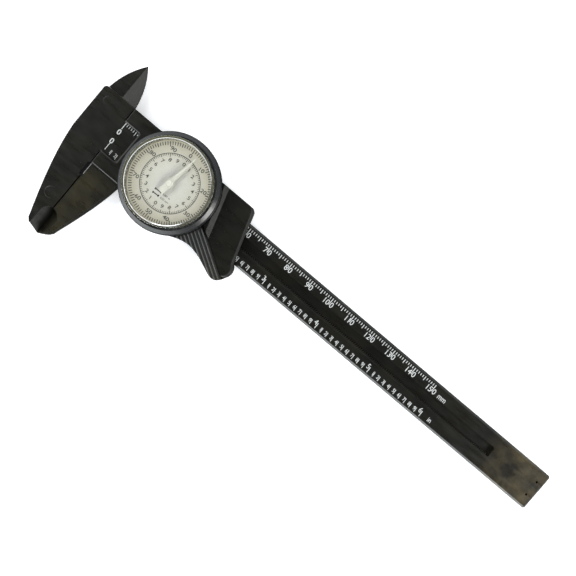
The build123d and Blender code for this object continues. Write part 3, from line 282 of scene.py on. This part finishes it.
class Print:
    """One mesh of thin marks on a plane at height z (mm), turned and placed as it is filled."""

    def __init__(self, name, z, thick, material):
        self.name, self.z, self.thick, self.material = name, z, thick, material
        self.mesh = bmesh.new()
        self.frame = Matrix.Identity(4)

    def outline(self, points):
        """A raised mark with the given plan, counter-clockwise."""
        low = [self.mesh.verts.new(self.frame @ Vector((x, y, self.z))) for x, y in points]
        high = [self.mesh.verts.new(self.frame @ Vector((x, y, self.z + self.thick))) for x, y in points]
        self.mesh.faces.new(high)
        self.mesh.faces.new(reversed(low))
        for i in range(len(points)):
            j = (i + 1) % len(points)
            self.mesh.faces.new((low[i], low[j], high[j], high[i]))

    def bar(self, x, y_from, y_to, width):
        left, right = x - width / 2, x + width / 2
        low, high = min(y_from, y_to), max(y_from, y_to)
        self.outline([(left, low), (right, low), (right, high), (left, high)])

    def ring(self, radius, width, steps=120):
        inner, outer = radius - width / 2, radius + width / 2
        for i in range(steps):
            a, b = 2 * math.pi * i / steps, 2 * math.pi * (i + 1) / steps
            corners = ((inner, a), (outer, a), (outer, b), (inner, b))
            self.outline([(r * math.cos(t), r * math.sin(t)) for r, t in corners])

    def text(self, string, x, y, height, stretch=1.0, bold=0.0, anchor=0.5):
        """Text whose capital height is height, its foot at y, its middle at x."""
        mesh = glyph(string, bold)
        tall = glyph("8", bold)
        cap = max(v.co.y for v in tall.vertices) - min(v.co.y for v in tall.vertices)
        bpy.data.meshes.remove(tall)
        left, right = min(v.co.x for v in mesh.vertices), max(v.co.x for v in mesh.vertices)
        scale = height / cap
        middle = left + (right - left) * anchor
        sheet = bmesh.new()
        sheet.from_mesh(mesh)
        bpy.data.meshes.remove(mesh)
        bmesh.ops.remove_doubles(sheet, verts=sheet.verts, dist=1e-5)
        for v in sheet.verts:
            v.co = Vector(((v.co.x - middle) * scale * stretch + x, v.co.y * scale + y, self.z + self.thick))
        for face in sheet.faces:
            if face.normal.z < 0:
                face.normal_flip()
        walls = bmesh.ops.extrude_face_region(sheet, geom=list(sheet.faces))
        for v in (g for g in walls["geom"] if isinstance(g, bmesh.types.BMVert)):
            v.co.z = self.z
        bmesh.ops.recalc_face_normals(sheet, faces=sheet.faces)
        sheet.verts.index_update()
        made = [self.mesh.verts.new(self.frame @ v.co) for v in sheet.verts]
        for face in sheet.faces:
            self.mesh.faces.new([made[v.index] for v in face.verts])
        sheet.free()

    def place(self, body, slot):
        data = bpy.data.meshes.new(self.name)
        bmesh.ops.scale(self.mesh, vec=(MM, MM, MM), verts=self.mesh.verts)
        self.mesh.to_mesh(data)
        self.mesh.free()
        data.materials.append(self.material)
        piece = bpy.data.objects.new(self.name, data)
        bpy.context.scene.collection.objects.link(piece)
        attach(piece, body)
        return piece


MARK_THICK = 0.05
ZERO_WEIGHT = 0.012         # the two zeros are a little bolder
SINK = 0.01                 # marks start this far inside the face that they stand on
mm_scale = Print("mm_scale", BEAM_FRONT - SINK, MARK_THICK, WHITE)
TICK_TOP = 6.5
for mark in range(RANGE_MM + 1):
    x = SCALE_ZERO + mark
    if mark == 0:
        mm_scale.bar(x, 6.6, 3.8, 0.27)
    elif mark % 10 == 0:
        mm_scale.bar(x, TICK_TOP, 3.6, 0.26)
    elif mark % 5 == 0:
        mm_scale.bar(x, TICK_TOP, 4.8, 0.26)
    else:
        mm_scale.bar(x, TICK_TOP, 5.5, 0.24)
# Every tenth mark passes between the last figure and the ones before it
MM_DIGIT, MM_FOOT = 2.15, 3.0
for number in range(10, RANGE_MM + 1, 10):
    digits = str(number)
    mm_scale.text(digits[-1], SCALE_ZERO + number + 0.95, MM_FOOT, MM_DIGIT, 0.92)
    mm_scale.text(digits[:-1], SCALE_ZERO + number - 0.28, MM_FOOT, MM_DIGIT, 0.92, anchor=1.0)
mm_scale.text("0", SCALE_ZERO, 1.35, MM_DIGIT, bold=ZERO_WEIGHT)
mm_scale.text("mm", SCALE_ZERO + RANGE_MM + 4.8, MM_FOOT, MM_DIGIT, 0.8)
mm_scale.place("beam", "hand_white")

inch_scale = Print("inch_scale", BEAM_FRONT - SINK, MARK_THICK, WHITE)
INCH_TICK_FOOT = -6.5
for tenth in range(10 * RANGE_INCH + 1):
    x = SCALE_ZERO + TENTH_INCH * tenth
    if tenth == 0:
        inch_scale.bar(x, -3.0, -5.9, 0.24)
        inch_scale.text("0", x, -2.85, MM_DIGIT, bold=ZERO_WEIGHT)
    elif tenth % 10 == 0:
        inch_scale.bar(x, -4.2, INCH_TICK_FOOT, 0.26)
        inch_scale.text(str(tenth // 10), x - 0.3, -5.3, 2.0, 0.92, anchor=1.0)
    else:
        inch_scale.bar(x, -4.5, INCH_TICK_FOOT, 0.22)
        inch_scale.text(str(tenth % 10), x - 0.28, -5.95, 1.5, 0.85, anchor=1.0)
inch_scale.text("in", SCALE_ZERO + TENTH_INCH * 10 * RANGE_INCH + 4.1, -6.0, 1.9, 0.85)
inch_scale.place("beam", "hand_white")

# Dial print, in the bezel's own turned frame
DIAL_PRINT_THICK = 0.03
dial_print = Print("dial_print", DIAL_FRONT - SINK, DIAL_PRINT_THICK, INK)
dial_frame = Matrix.Translation((DIAL_X, 0, 0)) @ Matrix.Rotation(math.radians(DIAL_TURN), 4, "Z")


def clockwise(turns):
    return dial_frame @ Matrix.Rotation(-2 * math.pi * turns, 4, "Z")


OUTER_TICKS, INNER_TICKS = 15.2, 10.98     # outer radius of each ring of ticks
for mark in range(100):
    dial_print.frame = clockwise(mark / 100)
    if mark % 10 == 0:
        outer_end, inner_end, width = 13.35, 9.65, 0.34
    elif mark % 5 == 0:
        outer_end, inner_end, width = 13.7, 9.95, 0.33
    else:
        outer_end, inner_end, width = 13.9, 10.2, 0.31
    dial_print.bar(0, OUTER_TICKS, outer_end, width)
    dial_print.bar(0, INNER_TICKS, inner_end, width - 0.09)
dial_print.frame = dial_frame
dial_print.ring(INNER_TICKS, 0.24)


def dial_number(text, turns, radius, height):
    """A number that stands upright, its middle at a clockwise turn from the top."""
    angle = 2 * math.pi * turns
    foot = radius * math.cos(angle) - height / 2
    dial_print.text(text, radius * math.sin(angle), foot, height, DIAL_STRETCH, DIAL_WEIGHT)


DIAL_STRETCH, DIAL_WEIGHT = 1.22, 0.018
LEAN = 5.5 / 360            # two-figure numbers lean towards the top and bottom of the dial
for ten in range(10):
    quadrant = round(math.sin(4 * math.pi * ten / 10) * 10)
    lean = math.copysign(LEAN, quadrant) if quadrant else 0
    dial_number(str(ten * 10), ten / 10 - lean, 12.5, 1.5)
for half in range(20):
    dial_number(str(half % 10), half / 20, 8.6, 1.4)

# Two small bars with end stops stand before the values of one division
STOP_WIDTH, STOP_HALF_HEIGHT = 0.5, 0.4
for y, value in ((-4.5, "0.001 in"), (-6.05, "0.02 mm")):
    dial_print.outline([(-3.3, y - 0.2), (-0.5, y - 0.2), (-0.5, y + 0.2), (-3.3, y + 0.2)])
    for left in (-3.35, -0.95):
        dial_print.bar(left + STOP_WIDTH / 2, y - STOP_HALF_HEIGHT, y + STOP_HALF_HEIGHT, STOP_WIDTH)
    dial_print.text(value, 0.25, y - 0.36, 0.75, 0.95, 0.01, 0.0)
dial_print.place("bezel", "black_plastic")

# ---------------------------------------------------------------- floor, light and camera
PAPER, PAPER_LIGHT = (0.95, 0.95, 0.95), (0.97, 0.97, 0.97)
PAPER_GLOW = 0.4            # emission strength, which keeps the shadows on the paper faint
FLOOR_DROP = 0.05           # gap between the floor and the object, so that no faces coincide
floor_look = Look("studio_paper", PAPER, 0.8, Emission_Color=(1, 1, 1, 1), Emission_Strength=PAPER_GLOW)
tooth = floor_look.noise(1.5, 3.0)
floor_look.feed(
    floor_look.shader.inputs["Base Color"],
    floor_look.blend(floor_look.span(tooth, 0.3, 0.7, 0, 1), PAPER, PAPER_LIGHT),
)
floor_look.bump((tooth, 0.01))
sheet = bmesh.new()
bmesh.ops.create_grid(sheet, x_segments=8, y_segments=8, size=1.5)
floor_mesh = bpy.data.meshes.new("floor")
sheet.to_mesh(floor_mesh)
sheet.free()
floor_mesh.materials.append(floor_look.material)
floor = bpy.data.objects.new("floor", floor_mesh)
floor.location = (0.1, 0, -FLOOR_DROP * MM)
bpy.context.scene.collection.objects.link(floor)
floor.visible_glossy = False    # side walls would mirror the bright paper


def softbox(name, place, aim, size, watts, colour):
    lamp = bpy.data.lights.new(name, "AREA")
    lamp.shape = "RECTANGLE"
    lamp.size, lamp.size_y = size
    lamp.energy = watts
    lamp.color = colour
    made = bpy.data.objects.new(name, lamp)
    made.location = place
    made.rotation_euler = (Vector(aim) - Vector(place)).to_track_quat("-Z", "Y").to_euler()
    bpy.context.scene.collection.objects.link(made)


TARGET = (0.08, 0.0, 0.005)     # the middle of the object
softbox("key_softbox", (1.22, 0.05, 0.74), TARGET, (0.55, 0.55), 14, (0.97, 0.985, 1.0))
softbox("left_softbox", (-1.02, 0.10, 0.76), TARGET, (0.8, 0.9), 9, (0.97, 0.985, 1.0))

# A bright band around the horizon between a dark ceiling and a dark ground: level faces stay
# black, and bevels catch the light, most of all those towards -Y and least those towards +X.
world = bpy.data.worlds.new("studio")
world.use_nodes = True
sky = world.node_tree
direction = sky.nodes.new("ShaderNodeTexCoord")
sky_axes = sky.nodes.new("ShaderNodeSeparateXYZ")
sky.links.new(direction.outputs["Generated"], sky_axes.inputs[0])


def sky_ramp(axis, low, high, at_low, at_high):
    ramp = sky.nodes.new("ShaderNodeMapRange")
    ramp.interpolation_type = "SMOOTHSTEP"
    for name, number in (("From Min", low), ("From Max", high), ("To Min", at_low), ("To Max", at_high)):
        ramp.inputs[name].default_value = number
    sky.links.new(sky_axes.outputs[axis], ramp.inputs["Value"])
    return ramp.outputs["Result"]


def sky_math(operation, first, second):
    made = sky.nodes.new("ShaderNodeMath")
    made.operation = operation
    sky.links.new(first, made.inputs[0])
    sky.links.new(second, made.inputs[1])
    return made.outputs[0]


band = sky_math("MULTIPLY", sky_ramp("Z", -0.6, -0.2, 0.05, 1.0), sky_ramp("Z", 0.5, 0.86, 1.0, 0.07))
band = sky_math("MULTIPLY", band, sky_ramp("X", -0.9, 0.9, 1.9, 0.9))
glow = sky_math("MULTIPLY", sky_ramp("Y", -0.95, -0.5, 5.0, 0.0), sky_ramp("Z", 0.25, 0.65, 1.0, 0.0))
glow = sky_math("MULTIPLY", glow, sky_ramp("Z", -0.5, -0.2, 0.0, 1.0))
sky.links.new(sky_math("ADD", band, glow), sky.nodes["Background"].inputs["Strength"])
sky.nodes["Background"].inputs["Color"].default_value = (0.90, 0.95, 1.0, 1)
bpy.context.scene.world = world
bpy.context.scene.view_settings.view_transform = "Standard"

# The camera looks nearly straight down, turned so that the beam runs from upper left to lower right.
CAMERA_PLACE = Vector((80.11, 4.91, 280.0))     # mm
CAMERA_LEAN = (0.01922, -0.02313)
CAMERA_ROLL = math.radians(40.166)
forward = Vector((*CAMERA_LEAN, -1)).normalized()
right = Vector((math.cos(CAMERA_ROLL), math.sin(CAMERA_ROLL), 0))
right = (right - forward * right.dot(forward)).normalized()
up = right.cross(forward)
lens = bpy.data.cameras.new("camera")
lens.lens = 46.41
lens.sensor_width = 36
lens.clip_start = 0.01
camera = bpy.data.objects.new("camera", lens)
axes = Matrix((right, up, -forward)).transposed().to_4x4()
camera.matrix_world = Matrix.Translation(CAMERA_PLACE * MM) @ axes
bpy.context.scene.collection.objects.link(camera)
bpy.context.scene.camera = camera
